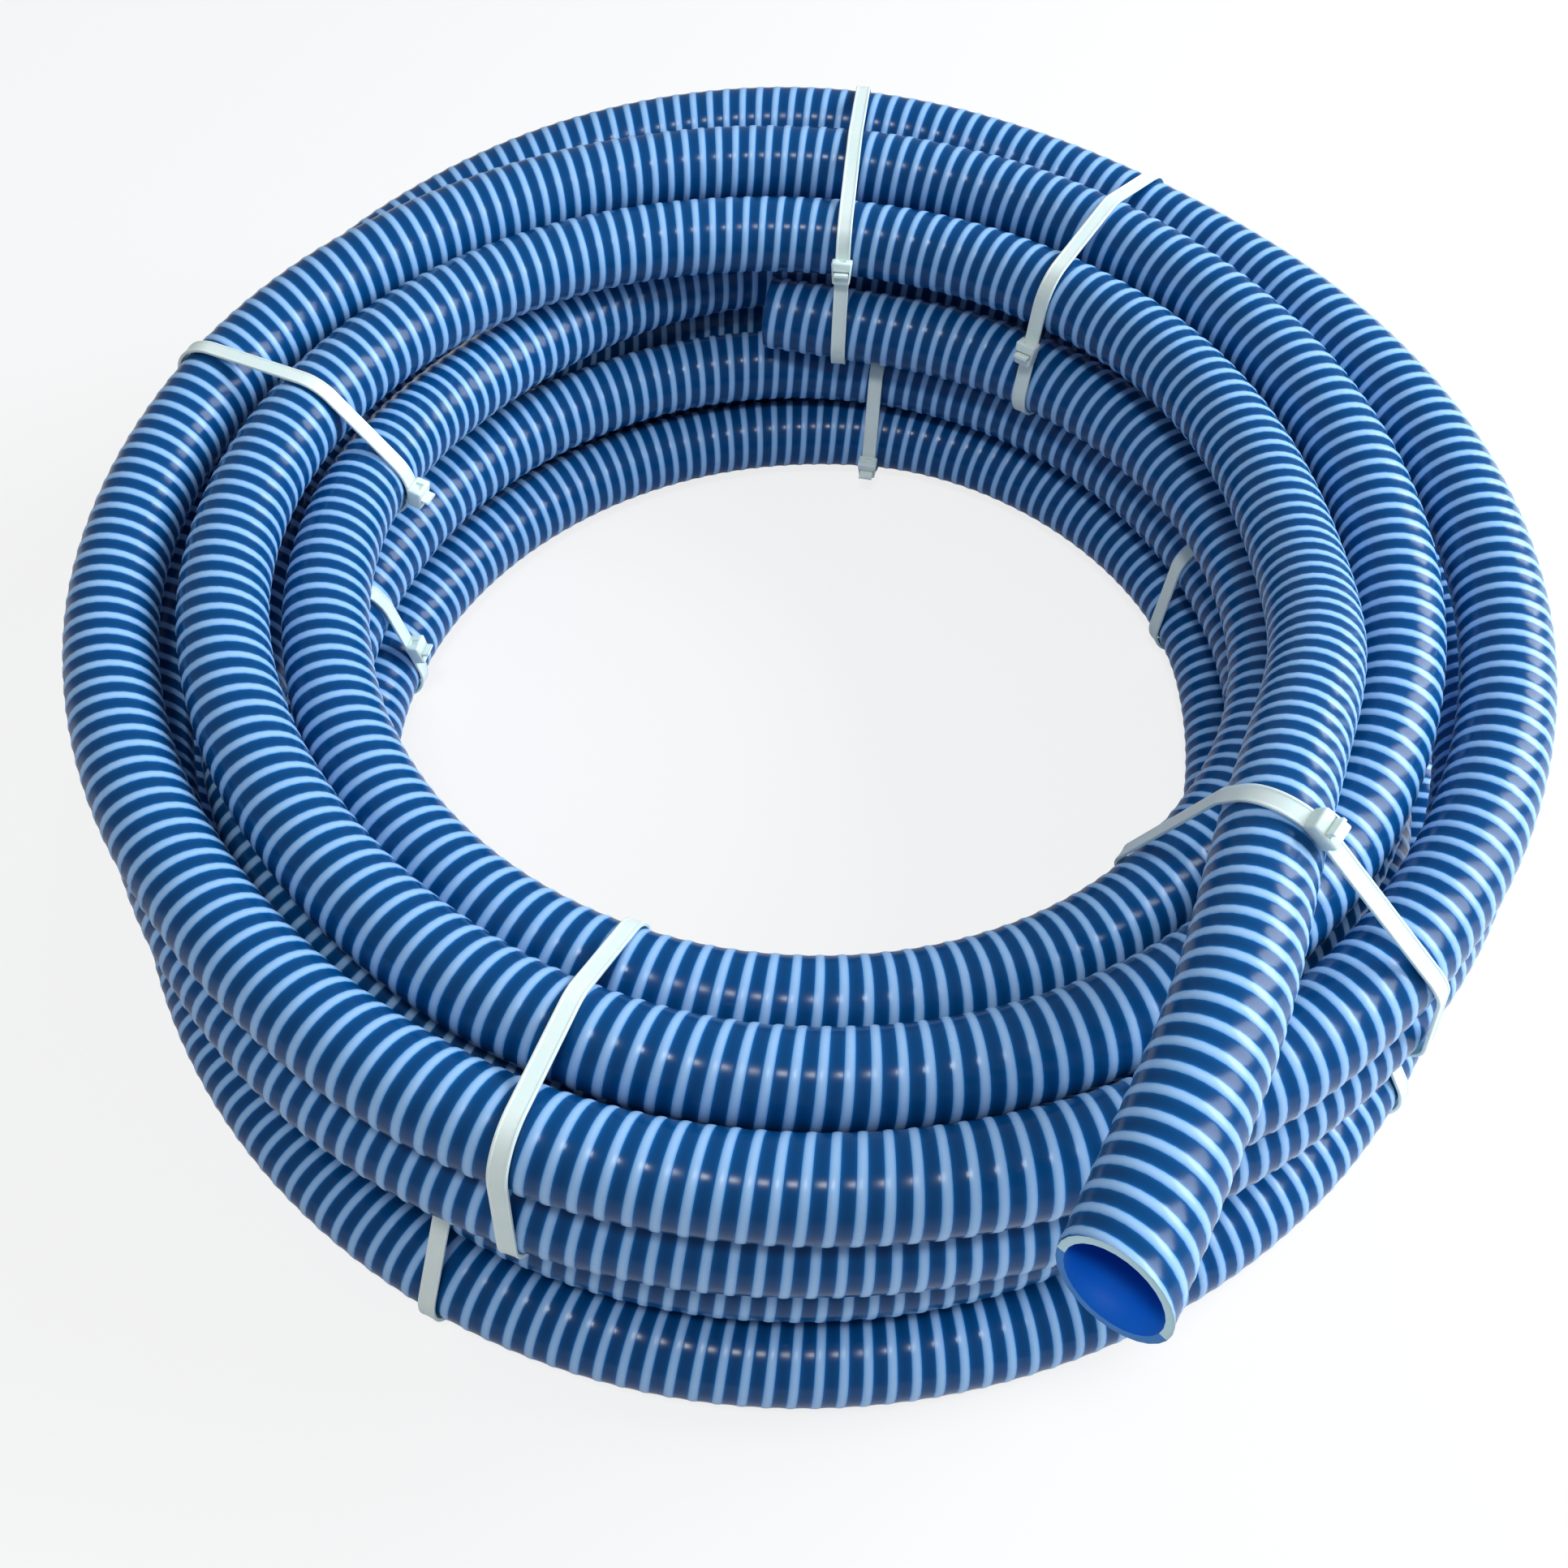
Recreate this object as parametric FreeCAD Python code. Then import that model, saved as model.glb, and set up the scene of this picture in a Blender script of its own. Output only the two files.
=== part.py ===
"""A coiled vacuum hose: blue PVC tube with a rigid spiral, laid in loops and bound with cable ties.

Units are millimetres and +Z is up. The coil lies flat round a vertical axis, its cut loose end
reaches out over the front (-Y), and its other cut end lies inside the coil at the back (+Y).
The hose is one unbroken tube. A laying plan gives its loops as stations, each a place in turns,
lanes and layers, and the tube runs through them on pairs of tangent arcs.
"""
import FreeCAD
import Part
import math
import os

V = FreeCAD.Vector

# Hose: a pool and spa vacuum hose of 38 mm bore
BORE_DIAMETER = 38.0
WALL = 3.5
HOSE_RADIUS = BORE_DIAMETER / 2 + WALL
HOSE_DIAMETER = 2 * HOSE_RADIUS
HOSE_SIDES = 7
MOUTH_LENGTH = 32.0
STRAIGHT_END = HOSE_DIAMETER

# The loose end is cut aslant: how much longer its longest side is than its shortest, and where
# that side lies, as an angle round the mouth from its level side over its top
MOUTH_SLANT = 11.0
LONGEST_AT = 210.0

# Cable ties, each moulded in one piece of nylon. A strap folds round a strand in steps of this many
# degrees, and a strand whose slant would move a corner by less than this counts as square to it
STRAP_WIDTH = 9.0
STRAP_THICKNESS = 1.8
STRAP_CLEARANCE = 0.8
STRAP_FOLD = 24.0
LEAST_SLANT = 0.3
HEAD_LENGTH = 14.0
HEAD_WIDTH = 13.0
HEAD_HEIGHT = 8.5
HEAD_BEVEL = 2.0

# The pile: lane 0 is the innermost loop and layer 0 the lowest, and a strap fits between layers.
# Its axis stands a little left of and behind the part's origin, because the loose end reaches out
COIL_LEFT = 6.3
COIL_BACK = 11.4
COIL_CENTRE = V(-COIL_LEFT, COIL_BACK, 0.0)
INNER_LOOP_RADIUS = 265.0
LANE_GAP = 1.0
LANE_PITCH = HOSE_DIAMETER + LANE_GAP
LAYER_PITCH = HOSE_DIAMETER + STRAP_THICKNESS + 2 * STRAP_CLEARANCE
LOWEST_AXIS = STRAP_THICKNESS + STRAP_CLEARANCE + HOSE_RADIUS
LEAST_GAP = 0.4

# Laying plan from the inner end to the loose end. Turns run clockwise seen from above and count
# from the back. Each station is (turn, lane, layer).
STATIONS = [
    (0.036, -0.10, 2.00), (0.25, -0.10, 2.00), (0.50, -0.35, 2.40), (0.75, -0.38, 2.70),
    (0.875, 0.10, 2.20), (1.00, 1.20, 2.00), (1.125, 1.15, 2.00), (1.25, 1.05, 2.04),
    (1.50, 0.75, 2.03), (1.75, 0.75, 2.00), (1.8125, 0.90, 1.98), (1.875, 1.25, 1.55),
    (1.9375, 1.28, 1.15), (2.00, 1.33, 1.00), (2.25, 1.15, 1.00), (2.50, 1.05, 1.00), (2.5625, 1.10, 1.00),
    (2.625, 0.95, 1.00), (2.75, 0.05, 1.00), (2.875, 0.05, 1.00), (3.00, 0.30, 1.00),
    (3.25, 0.05, 1.00), (3.50, 0.00, 0.95), (3.75, -0.20, 0.00), (4.00, 0.05, 0.00),
    (4.25, -0.10, 0.00), (4.50, 1.05, 0.00), (4.75, 1.00, 0.00), (5.00, 1.15, 0.00),
    (5.25, 2.00, 0.00), (5.50, 2.08, 0.00), (5.75, 2.05, 0.00), (6.00, 2.50, 0.70),
    (6.25, 2.30, 1.60), (6.375, 2.00, 2.05), (6.50, 1.80, 2.03), (6.75, 1.80, 2.05),
    (6.875, 2.45, 2.75), (7.00, 2.55, 3.35), (7.25, 2.05, 3.15), (7.50, 1.75, 3.00),
    (7.75, 1.80, 3.10), (7.875, 1.65, 3.50), (8.00, 1.42, 3.45), (8.25, 1.04, 3.15),
    (8.50, 0.70, 3.00), (8.75, 0.68, 3.05), (9.00, 0.35, 3.10), (9.125, 0.10, 3.12),
    (9.25, -0.08, 3.32), (9.33, 0.25, 4.05),
]

# Loose end: its first run leaves the coil straight, and the other points of its route lie this
# far from the coil's own end to the right, to the front and upwards
LOOSE_FIRST_RUN = 60.0
LOOSE_POINTS = [
    (-65.0, 132.0, 23.0), (-110.0, 211.0, 27.0),
]

# Ties: name, azimuth in degrees on the floor, lean of the strap's plane off upright, lowest and
# highest layer bound, direction in that plane of the strand that carries the head (0 is outwards,
# 90 is up), how far along the straight stretch beyond that strand the head sits (0 on the strand,
# below 0 for the stretch before it) and the length of the tail past the head
TIES = [
    ("tie_upper_back", 83.5, 0.0, 1.7, 9.0, 150.0, 0.2, 9.0),
    ("tie_upper_back_right", 54.0, 0.0, 1.7, 9.0, 150.0, 0.5, 7.0),
    ("tie_upper_right_front", -38.2, 12.5, 1.7, 9.0, 45.0, 0.0, 8.0),
    ("tie_upper_front", -109.4, 0.0, 1.7, 9.0, 215.0, 0.0, 8.0),
    ("tie_upper_left", 158.5, 0.0, 1.7, 9.0, 190.0, 0.0, 10.0),
    ("tie_lower_back", 78.0, 0.0, -1.0, 1.2, 190.0, 0.0, 8.0),
    ("tie_lower_right", 20.5, 0.0, -1.0, 1.2, 0.0, 0.0, 8.0),
    ("tie_lower_right_front", -37.5, 0.0, -1.0, 1.2, 180.0, 0.0, 8.0),
    ("tie_lower_front", -117.0, 0.0, -1.0, 1.2, 180.0, 0.0, 8.0),
    ("tie_lower_left", 170.0, 0.0, -1.0, 1.2, 175.0, -0.6, 8.0),
]


def gentle_slopes(places, values):
    """Slope of a steady curve at each station, level where the values turn back."""
    steps = [(values[i + 1] - values[i]) / (places[i + 1] - places[i]) for i in range(len(places) - 1)]
    slopes = [steps[0]]
    for before, after, left, mid, right in zip(steps, steps[1:], places, places[1:], places[2:]):
        if before * after <= 0:
            slopes.append(0.0)
            continue
        mean = (before * (right - mid) + after * (mid - left)) / (right - left)
        limit = 2 * min(abs(before), abs(after))
        slopes.append(math.copysign(min(abs(mean), limit), mean))
    slopes.append(steps[-1])
    return slopes


def station_points():
    """Place and direction of the tube's axis at each station."""
    turns = [s[0] for s in STATIONS]
    lane_slopes = gentle_slopes(turns, [s[1] for s in STATIONS])
    layer_slopes = gentle_slopes(turns, [s[2] for s in STATIONS])
    found = []
    for (turn, lane, layer), lane_slope, layer_slope in zip(STATIONS, lane_slopes, layer_slopes):
        angle = math.pi / 2 - 2 * math.pi * turn
        radius = INNER_LOOP_RADIUS + LANE_PITCH * lane
        outward = V(math.cos(angle), math.sin(angle), 0)
        onward = V(math.sin(angle), -math.cos(angle), 0)
        place = COIL_CENTRE + outward * radius + V(0, 0, LOWEST_AXIS + LAYER_PITCH * layer)
        rate = outward * (LANE_PITCH * lane_slope) + onward * (2 * math.pi * radius)
        rate = rate + V(0, 0, LAYER_PITCH * layer_slope)
        found.append((place, rate.normalize()))
    return found


def tangent_arc(start, control, end):
    """Arc from start to end whose tangents meet at the control point; gives edge and radius."""
    reach = start.distanceToPoint(control)
    half_chord = start.distanceToPoint(end) / 2
    middle = (start + end) * 0.5
    turn = math.acos(min(1.0, half_chord / reach))
    radius = half_chord / math.sin(turn)
    towards = (control - middle).normalize()
    crown = middle + towards * (half_chord * math.tan(turn / 2))
    return Part.Arc(start, crown, end).toShape(), radius


def biarc(start, start_way, end, end_way):
    """Two tangent arcs that leave start along start_way and reach end along end_way."""
    span = end - start
    both = start_way + end_way
    spread = 2 * (1 - start_way.dot(end_way))
    along = span.dot(both)
    reach = (math.sqrt(along ** 2 + spread * span.dot(span)) - along) / spread
    joint = (start + end + (start_way - end_way) * reach) * 0.5
    first = tangent_arc(start, start + start_way * reach, joint)
    second = tangent_arc(joint, end - end_way * reach, end)
    return [first, second]


def rounded_route(points):
    """Straight runs joined by tangent arcs as large as the runs allow; gives edges and radii."""
    edges = []
    radii = []
    here = points[0]
    for before, corner, after in zip(points, points[1:], points[2:]):
        way_in = (corner - before).normalize()
        way_out = (after - corner).normalize()
        half_turn = way_in.getAngle(way_out) / 2
        cut = 0.45 * min(corner.distanceToPoint(before), corner.distanceToPoint(after))
        start = corner - way_in * cut
        end = corner + way_out * cut
        edges.append(Part.LineSegment(here, start).toShape())
        arc, radius = tangent_arc(start, corner, end)
        edges.append(arc)
        radii.append(radius)
        here = end
    edges.append(Part.LineSegment(here, points[-1]).toShape())
    return edges, radii


def section_wire(place, way, radius):
    """Many-sided section of the tube, square to its axis."""
    side = way.cross(V(0, 0, 1)).normalize()
    up = side.cross(way).normalize()
    corners = []
    for k in range(HOSE_SIDES + 1):
        angle = math.pi * (2 * (k % HOSE_SIDES) + 1) / HOSE_SIDES
        corners.append(place + side * (radius * math.cos(angle)) + up * (radius * math.sin(angle)))
    return Part.makePolygon(corners)


def swept_tube(edges, place, way, radius):
    """Solid swept along a chain of edges."""
    shell = Part.BRepOffsetAPI.MakePipeShell(Part.Wire(edges))
    shell.add(section_wire(place, way, radius))
    shell.build()
    shell.makeSolid()
    return shell.shape()


def axis_samples(edges, step):
    """Points along a chain of edges, about a step apart."""
    points = []
    for edge in edges:
        count = max(2, int(edge.Length / step) + 1)
        points.extend(edge.discretize(count)[:-1])
    points.append(edges[-1].Vertexes[-1].Point)
    return points


def least_self_gap(points, step):
    """Least gap between the tube's own skins, apart from stretches that simply follow on."""
    skip = int(6 * HOSE_DIAMETER / step)
    cells = {}
    size = 1.2 * HOSE_DIAMETER
    for i, p in enumerate(points):
        cells.setdefault((int(p.x // size), int(p.y // size), int(p.z // size)), []).append(i)
    least = 1e9
    for (a, b, c), members in cells.items():
        near = []
        for da in (-1, 0, 1):
            for db in (-1, 0, 1):
                for dc in (-1, 0, 1):
                    near.extend(cells.get((a + da, b + db, c + dc), []))
        for i in members:
            for j in near:
                if j - i > skip:
                    least = min(least, points[i].distanceToPoint(points[j]))
    return least - HOSE_DIAMETER


def strap_plane(azimuth, lean):
    """Outward and upward directions in a strap's plane, and the direction across the strap."""
    angle = math.radians(azimuth)
    tilt = math.radians(lean)
    outward = V(math.cos(angle), math.sin(angle), 0)
    level = V(-math.sin(angle), math.cos(angle), 0)
    upward = V(0, 0, math.cos(tilt)) - level * math.sin(tilt)
    across = V(0, 0, math.sin(tilt)) + level * math.cos(tilt)
    return outward, upward, across


def crossings(points, plane, low_layer, high_layer):
    """Where the tube crosses a strap's plane, as (outward, upward, slopes)."""
    outward, upward, across = plane
    low = LOWEST_AXIS + LAYER_PITCH * low_layer
    high = LOWEST_AXIS + LAYER_PITCH * high_layer
    found = []
    for p, q in zip(points, points[1:]):
        a = (p - COIL_CENTRE).dot(across)
        b = (q - COIL_CENTRE).dot(across)
        if a * b > 0 or a == b or (p - COIL_CENTRE).dot(outward) < 0:
            continue
        place = p + (q - p) * (a / (a - b))
        if low <= place.z <= high:
            slope_out = (q - p).dot(outward) / (b - a)
            slope_up = (q - p).dot(upward) / (b - a)
            from_centre = place - COIL_CENTRE
            found.append((from_centre.dot(outward), from_centre.dot(upward), slope_out, slope_up))
    return found


def convex_hull(points):
    """Corners of the convex hull, anticlockwise."""
    def half(ordered):
        chain = []
        for p in ordered:
            while len(chain) > 1 and turn_of(chain[-2], chain[-1], p) <= 1e-6:
                chain.pop()
            chain.append(p)
        return chain[:-1]

    def turn_of(a, b, c):
        return (b[0] - a[0]) * (c[1] - a[1]) - (b[1] - a[1]) * (c[0] - a[0])

    ordered = sorted(set(points))
    return half(ordered) + half(ordered[::-1])


def band_wire(hull, offset, to_space):
    """Closed wire outside a hull that folds round each corner in small steps, never nearer than
    the offset."""
    corners = []
    count = len(hull)
    for i in range(count):
        before = hull[i - 1]
        here = hull[i]
        after = hull[(i + 1) % count]
        facing = math.atan2(before[0] - here[0], here[1] - before[1])
        turn = (math.atan2(here[0] - after[0], after[1] - here[1]) - facing) % (2 * math.pi)
        folds = math.ceil(math.degrees(turn) / STRAP_FOLD)
        fold = turn / folds
        reach = offset / math.cos(fold / 2)
        for k in range(folds):
            way = facing + fold * (k + 0.5)
            corners.append(to_space(here[0] + reach * math.cos(way), here[1] + reach * math.sin(way)))
    return Part.makePolygon(corners + corners[:1])


def head_seat(hull, head_way, share):
    """Corner or point along a straight stretch of the hull that carries the head, and its facing."""
    way = math.radians(head_way)
    facing = (math.cos(way), math.sin(way))
    nearest = max(range(len(hull)), key=lambda i: hull[i][0] * facing[0] + hull[i][1] * facing[1])
    if share == 0:
        return hull[nearest], facing
    first = nearest if share > 0 else nearest - 1
    a = hull[first]
    b = hull[(first + 1) % len(hull)]
    length = math.hypot(b[0] - a[0], b[1] - a[1])
    along = share % 1
    place = (a[0] + (b[0] - a[0]) * along, a[1] + (b[1] - a[1]) * along)
    return place, ((b[1] - a[1]) / length, (a[0] - b[0]) / length)


def cable_tie(points, plane, low_layer, high_layer, head_way, share, tail):
    """Strap drawn round the strands that cross its plane, with its head and cut tail."""
    outward, upward, across = plane
    base = COIL_CENTRE - across * (STRAP_WIDTH / 2)

    def to_space(out, height):
        return base + outward * out + upward * height

    corners = []
    for out, height, slope_out, slope_up in crossings(points, plane, low_layer, high_layer):
        slope = math.hypot(slope_out, slope_up)
        longer = HOSE_RADIUS * (math.hypot(1, slope) - 1) / slope + STRAP_WIDTH / 2
        if longer * slope < LEAST_SLANT:
            corners.append((out, height))
            continue
        for reach in (longer, -longer):
            corners.append((out + reach * slope_out, height + reach * slope_up))
    hull = convex_hull(corners)
    inner = HOSE_RADIUS + STRAP_CLEARANCE
    outer = inner + STRAP_THICKNESS
    band = Part.Face(band_wire(hull, outer, to_space)).extrude(across * STRAP_WIDTH)
    hollow = Part.Face(band_wire(hull, inner, to_space)).extrude(across * STRAP_WIDTH)
    strap = band.cut(hollow)

    # The head's foot lies within the strap's thickness and its tail leaves the head's top
    seat, facing = head_seat(hull, head_way, share)
    face_out = outward * facing[0] + upward * facing[1]
    along = upward * facing[0] - outward * facing[1]
    middle = COIL_CENTRE + outward * seat[0] + upward * seat[1]
    foot = middle + face_out * (inner + STRAP_THICKNESS / 2)
    head = block(foot, along, across, face_out, HEAD_LENGTH, HEAD_WIDTH, HEAD_HEIGHT)
    head = head.makeChamfer(HEAD_BEVEL, upright_edges(head, face_out))
    stub = block(foot, along, across, face_out, STRAP_THICKNESS, STRAP_WIDTH, HEAD_HEIGHT + tail)
    return strap.fuse(head).fuse(stub).removeSplitter()


def block(foot, along, across, up, length, width, height):
    """Box on the middle of its foot face, turned to the three directions given."""
    corner = foot - along * (length / 2) - across * (width / 2)
    face = Part.Face(Part.makePolygon([
        corner,
        corner + along * length,
        corner + along * length + across * width,
        corner + across * width,
        corner,
    ]))
    return face.extrude(up * height)


def upright_edges(solid, way):
    """Edges of a block that run along one direction."""
    return [e for e in solid.Edges if abs(e.tangentAt(e.FirstParameter).dot(way)) > 0.99]


def mouth(foot, way, slant):
    """Cut end of the hose: a straight round tube with its bore open. A slant is how much longer
    one side is than the other, with the same length on the axis."""
    reach = MOUTH_LENGTH + slant
    skin = Part.makeCylinder(HOSE_RADIUS, reach, foot, way)
    tube = skin.cut(Part.makeCylinder(BORE_DIAMETER / 2, reach, foot, way))
    side = way.cross(V(0, 0, 1)).normalize()
    up = side.cross(way)
    angle = math.radians(LONGEST_AT)
    longest = side * math.cos(angle) + up * math.sin(angle)
    cut_way = (way * HOSE_DIAMETER - longest * slant).normalize()
    cut_along = (longest * HOSE_DIAMETER + way * slant).normalize()
    tip = foot + way * MOUTH_LENGTH
    return tube.cut(block(tip, cut_along, longest.cross(way), cut_way, 2 * reach, 2 * reach, reach))


def save(shape, node):
    shape.exportStep("parts/" + node + ".step")
    print(node, "solids", len(shape.Solids), "volume", round(shape.Volume / 1000, 1), "cm3",
          "valid", shape.isValid())


os.makedirs("parts", exist_ok=True)

# Loops: a straight end, the biarcs between stations and a second straight end
stations = station_points()
first_place, first_way = stations[0]
last_place, last_way = stations[-1]
coil_start = first_place - first_way * STRAIGHT_END
coil_end = last_place + last_way * STRAIGHT_END
arcs = []
for (start, start_way), (end, end_way) in zip(stations, stations[1:]):
    arcs.extend(biarc(start, start_way, end, end_way))
coil_edges = [Part.LineSegment(coil_start, first_place).toShape()]
coil_edges.extend(edge for edge, radius in arcs)
coil_edges.append(Part.LineSegment(last_place, coil_end).toShape())
coil = swept_tube(coil_edges, coil_start, first_way, HOSE_RADIUS)
save(coil, "hose_coil")
print("tightest loop arc", round(min(radius for edge, radius in arcs), 1), "mm")

# Loose end: its route over the coil's edge and its straight cut mouth
loose_route = [coil_end, coil_end + last_way * LOOSE_FIRST_RUN]
for right, front, up in LOOSE_POINTS:
    loose_route.append(coil_end + V(right, -front, up))
loose_edges, loose_radii = rounded_route(loose_route)
loose = swept_tube(loose_edges, coil_end, last_way, HOSE_RADIUS)
print("loose end arcs", [round(radius) for radius in loose_radii], "mm")
save(loose, "hose_loose_end")
loose_way = (loose_route[-1] - loose_route[-2]).normalize()
save(mouth(loose_route[-1], loose_way, MOUTH_SLANT), "hose_loose_mouth")
save(mouth(coil_start, first_way * -1, 0.0), "hose_inner_mouth")

# How close the tube comes to itself
STEP = 4.0
inner_tip = Part.LineSegment(coil_start - first_way * MOUTH_LENGTH, coil_start).toShape()
loose_tip = Part.LineSegment(loose_route[-1], loose_route[-1] + loose_way * MOUTH_LENGTH).toShape()
whole = [inner_tip] + coil_edges + loose_edges + [loose_tip]
axis = axis_samples(whole, STEP)
gap = least_self_gap(axis, STEP)
length = sum(edge.Length for edge in whole)
print("hose length", round(length / 1000, 2), "m, least gap to itself", round(gap, 2), "mm")
print("least gap wanted", LEAST_GAP, "mm")

for node, azimuth, lean, low_layer, high_layer, head_way, share, tail in TIES:
    plane = strap_plane(azimuth, lean)
    save(cable_tie(axis, plane, low_layer, high_layer, head_way, share, tail), node)
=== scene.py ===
import math
import bmesh
import bpy
import numpy as np
from mathutils import Matrix, Vector, geometry


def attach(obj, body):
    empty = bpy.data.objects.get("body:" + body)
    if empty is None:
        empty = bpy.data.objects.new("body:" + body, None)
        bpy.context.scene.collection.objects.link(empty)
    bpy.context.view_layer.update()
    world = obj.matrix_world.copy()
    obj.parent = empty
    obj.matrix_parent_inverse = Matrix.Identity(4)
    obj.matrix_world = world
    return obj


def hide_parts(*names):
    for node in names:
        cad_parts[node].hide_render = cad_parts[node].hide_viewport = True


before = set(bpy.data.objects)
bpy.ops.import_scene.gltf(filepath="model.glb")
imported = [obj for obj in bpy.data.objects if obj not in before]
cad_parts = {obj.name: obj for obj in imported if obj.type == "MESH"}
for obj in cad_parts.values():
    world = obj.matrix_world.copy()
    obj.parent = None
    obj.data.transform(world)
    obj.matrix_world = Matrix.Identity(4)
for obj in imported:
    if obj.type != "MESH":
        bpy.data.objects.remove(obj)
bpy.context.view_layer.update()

# Camera. The hose is seen from the front and from above, about 54 degrees down, from less than
# a metre away, so the near strands look thicker than the far ones.
camera_data = bpy.data.cameras.new("camera")
camera_data.sensor_width = 36.0
camera_data.lens = 36.48
camera = bpy.data.objects.new("camera", camera_data)
camera.location = (-0.0138, -0.5698, 0.7827)
camera.rotation_euler = (math.radians(35.695), 0.0, 0.0)
bpy.context.collection.objects.link(camera)
bpy.context.scene.camera = camera
bpy.context.scene.view_settings.view_transform = "Standard"


# Hose line. The hose is one unbroken length, wound flat on the floor in nine turns and a third.
# Each station of its laying plan gives its turns round, clockwise from the back, its lane outwards
# and its layer upwards. The loose end leaves the pile at the right and lies over the front strands.
pile_middle = Vector((-0.0063, 0.0114, 0.0))
inner_loop_radius = 0.265
lane_pitch = 0.046
layer_pitch = 0.0484
lowest_axis = 0.0251
hose_diameter = 0.045
mouth_length = 0.032
stations = np.array([
    (0.036, -0.10, 2.00), (0.25, -0.15, 2.00), (0.375, -0.40, 2.15), (0.50, -0.45, 2.45),
    (0.625, -0.45, 2.60), (0.75, -0.30, 2.65), (0.875, 0.30, 2.15), (1.00, 1.10, 2.00),
    (1.125, 1.15, 2.00), (1.25, 1.05, 2.05), (1.50, 0.75, 2.05), (1.75, 0.75, 2.00),
    (1.8125, 0.90, 2.00), (1.875, 1.25, 1.55), (1.9375, 1.30, 1.15), (2.00, 1.35, 1.00),
    (2.25, 1.15, 1.00), (2.375, 1.50, 1.00), (2.50, 1.65, 0.95), (2.5625, 1.60, 0.95),
    (2.625, 1.25, 1.00), (2.75, 0.10, 1.00), (2.875, 0.20, 1.00), (3.00, 0.30, 1.00),
    (3.25, 0.05, 1.00), (3.50, 0.00, 0.95), (3.75, -0.10, 0.00), (3.875, -0.15, 0.00),
    (4.00, 0.00, 0.00), (4.0625, 0.15, 0.00), (4.1875, 0.05, 0.00), (4.25, -0.20, 0.00),
    (4.3125, -0.30, 0.00), (4.50, 1.05, 0.00), (4.75, 1.00, 0.00), (5.00, 1.15, 0.00),
    (5.25, 2.05, 0.00), (5.375, 2.20, 0.00), (5.50, 2.20, 0.00), (5.625, 2.10, 0.00),
    (5.75, 2.05, 0.00), (6.00, 2.50, 0.70), (6.25, 2.30, 1.60), (6.375, 2.00, 2.05),
    (6.50, 1.80, 2.10), (6.75, 1.80, 2.05), (6.875, 2.55, 2.80), (6.9375, 2.60, 3.20),
    (7.00, 2.55, 3.35), (7.125, 2.20, 3.10), (7.25, 2.10, 3.10), (7.375, 1.90, 3.10),
    (7.50, 1.70, 3.10), (7.625, 1.60, 3.10), (7.6875, 1.75, 3.10), (7.75, 1.90, 3.15),
    (7.8125, 1.85, 3.30), (7.875, 1.55, 3.50), (8.00, 1.40, 3.45), (8.25, 0.95, 3.15),
    (8.375, 0.80, 3.00), (8.50, 0.65, 3.05), (8.625, 0.45, 3.10), (8.75, 0.65, 3.25),
    (8.875, 0.55, 3.20), (9.00, 0.30, 3.10), (9.125, 0.05, 3.15), (9.25, -0.25, 3.40),
    (9.33, 0.00, 4.00),
])
loose_straight = 0.060
loose_points = [(-0.055, -0.136, 0.026), (-0.098, -0.215, 0.030)]
points_per_turn = 36
shortest_run = 1e-7


def gentle_slopes(turns, values):
    """Slope at each station, level where the values turn back."""
    spans = np.diff(turns)
    steps = np.diff(values) / spans
    mean = (steps[:-1] * spans[1:] + steps[1:] * spans[:-1]) / (spans[:-1] + spans[1:])
    limit = 2 * np.minimum(abs(steps[:-1]), abs(steps[1:]))
    inner = np.where(steps[:-1] * steps[1:] > 0, np.clip(mean, -limit, limit), 0.0)
    return np.concatenate([steps[:1], inner, steps[-1:]])


def eased(at, turns, values):
    """Values between the stations, with the stations' own slopes."""
    slopes = gentle_slopes(turns, values)
    i = np.clip(np.searchsorted(turns, at, side="right") - 1, 0, len(turns) - 2)
    span = turns[i + 1] - turns[i]
    t = (at - turns[i]) / span
    rise = values[i + 1] - values[i]
    swing = t * (1 - t) * span * ((1 - t) * slopes[i] - t * slopes[i + 1])
    return values[i] + rise * t * t * (3 - 2 * t) + swing


def station_place(index):
    """Place and direction of the hose at one station."""
    turn, lane, layer = stations[index]
    angle = math.pi / 2 - 2 * math.pi * turn
    radius = inner_loop_radius + lane_pitch * lane
    outward = Vector((math.cos(angle), math.sin(angle), 0.0))
    onward = Vector((math.sin(angle), -math.cos(angle), 0.0))
    place = pile_middle + outward * radius + Vector((0, 0, lowest_axis + layer_pitch * layer))
    lane_slope = gentle_slopes(stations[:, 0], stations[:, 1])[index]
    layer_slope = gentle_slopes(stations[:, 0], stations[:, 2])[index]
    way = outward * (lane_pitch * lane_slope) + onward * (2 * math.pi * radius)
    way = way + Vector((0, 0, layer_pitch * layer_slope))
    return place, way.normalized()


first_place, first_way = station_place(0)
last_place, last_way = station_place(-1)
coil_start = first_place - first_way * hose_diameter
coil_end = last_place + last_way * hose_diameter
inner_tip = coil_start - first_way * mouth_length

turns_laid = stations[-1, 0] - stations[0, 0]
turn_points = round(turns_laid * points_per_turn)
turn_step = turns_laid / turn_points
at = stations[0, 0] + turn_step * (np.arange(turn_points) + 0.5)
lanes = eased(at, stations[:, 0], stations[:, 1])
layers = eased(at, stations[:, 0], stations[:, 2])
radii = (inner_loop_radius + lane_pitch * lanes) / math.cos(math.pi * turn_step)
angles = math.pi / 2 - 2 * math.pi * at
heights = lowest_axis + layer_pitch * layers

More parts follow.
